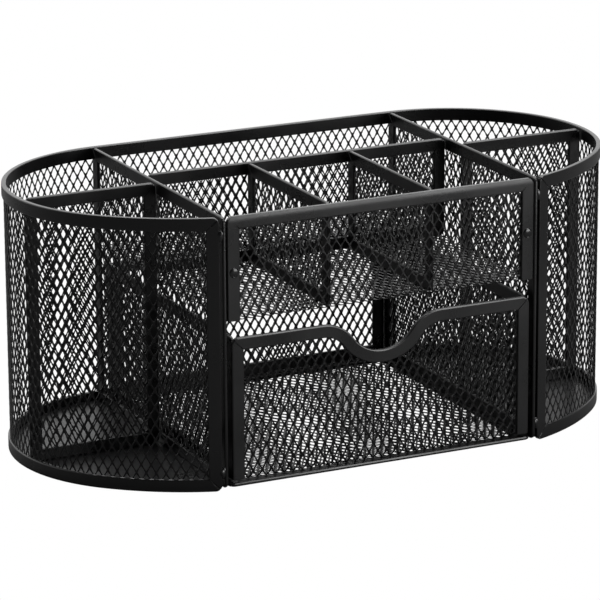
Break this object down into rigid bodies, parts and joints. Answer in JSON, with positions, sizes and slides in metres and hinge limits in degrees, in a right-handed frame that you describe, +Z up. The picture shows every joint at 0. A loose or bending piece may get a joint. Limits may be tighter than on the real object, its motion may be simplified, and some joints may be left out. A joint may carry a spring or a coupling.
{
  "type": "desk organizer",
  "caption": "Oval desk organizer in black expanded steel mesh with hemmed edges, upright end compartments, an open upper tray with dividers and a notched sliding drawer.",
  "frame": {"origin": "centre of the underside, on the surface that the organizer stands on", "axes": "+X to the organizer's right along its length, +Y to its back, +Z up"},
  "size_m": [0.236, 0.12, 0.1016],
  "materials": {
    "expanded_mesh": "satin black powder coat",
    "folded_hem": "satin black powder coat",
    "floor_sheet": "satin black powder coat",
    "weld_bead": "satin black powder coat"
  },
  "bodies": {
    "organizer_body": {"base_frame": "folded_hem", "base_mesh": "expanded_mesh", "left_cross_panel_frame": "folded_hem", "left_cross_panel_mesh": "expanded_mesh", "left_divider_frame": "folded_hem", "left_divider_mesh": "expanded_mesh", "left_floor_plate": "floor_sheet", "left_short_divider_frame": "folded_hem", "left_short_divider_mesh": "expanded_mesh", "middle_panel_frame": "folded_hem", "middle_panel_mesh": "expanded_mesh", "right_cross_panel_frame": "folded_hem", "right_cross_panel_mesh": "expanded_mesh", "right_divider_frame": "folded_hem", "right_divider_mesh": "expanded_mesh", "right_floor_plate": "floor_sheet", "right_short_divider_frame": "folded_hem", "right_short_divider_mesh": "expanded_mesh", "shell_bottom_hem": "folded_hem", "shell_front_hem_left": "folded_hem", "shell_front_hem_right": "folded_hem", "shell_mesh": "expanded_mesh", "shell_top_hem": "folded_hem", "tray_front_frame": "folded_hem", "tray_mesh": "expanded_mesh", "weld_beads": "weld_bead"},
    "drawer": {"drawer_back_frame": "folded_hem", "drawer_back_mesh": "expanded_mesh", "drawer_front_frame": "folded_hem", "drawer_left_side_frame": "folded_hem", "drawer_left_side_mesh": "expanded_mesh", "drawer_mesh": "expanded_mesh", "drawer_right_side_frame": "folded_hem", "drawer_right_side_mesh": "expanded_mesh"}
  },
  "joints": [
    {"name": "drawer_slide", "type": "slide", "parent": "organizer_body", "child": "drawer", "axis": [0, -1, 0], "range_m": [0, 0.1]}
  ]
}
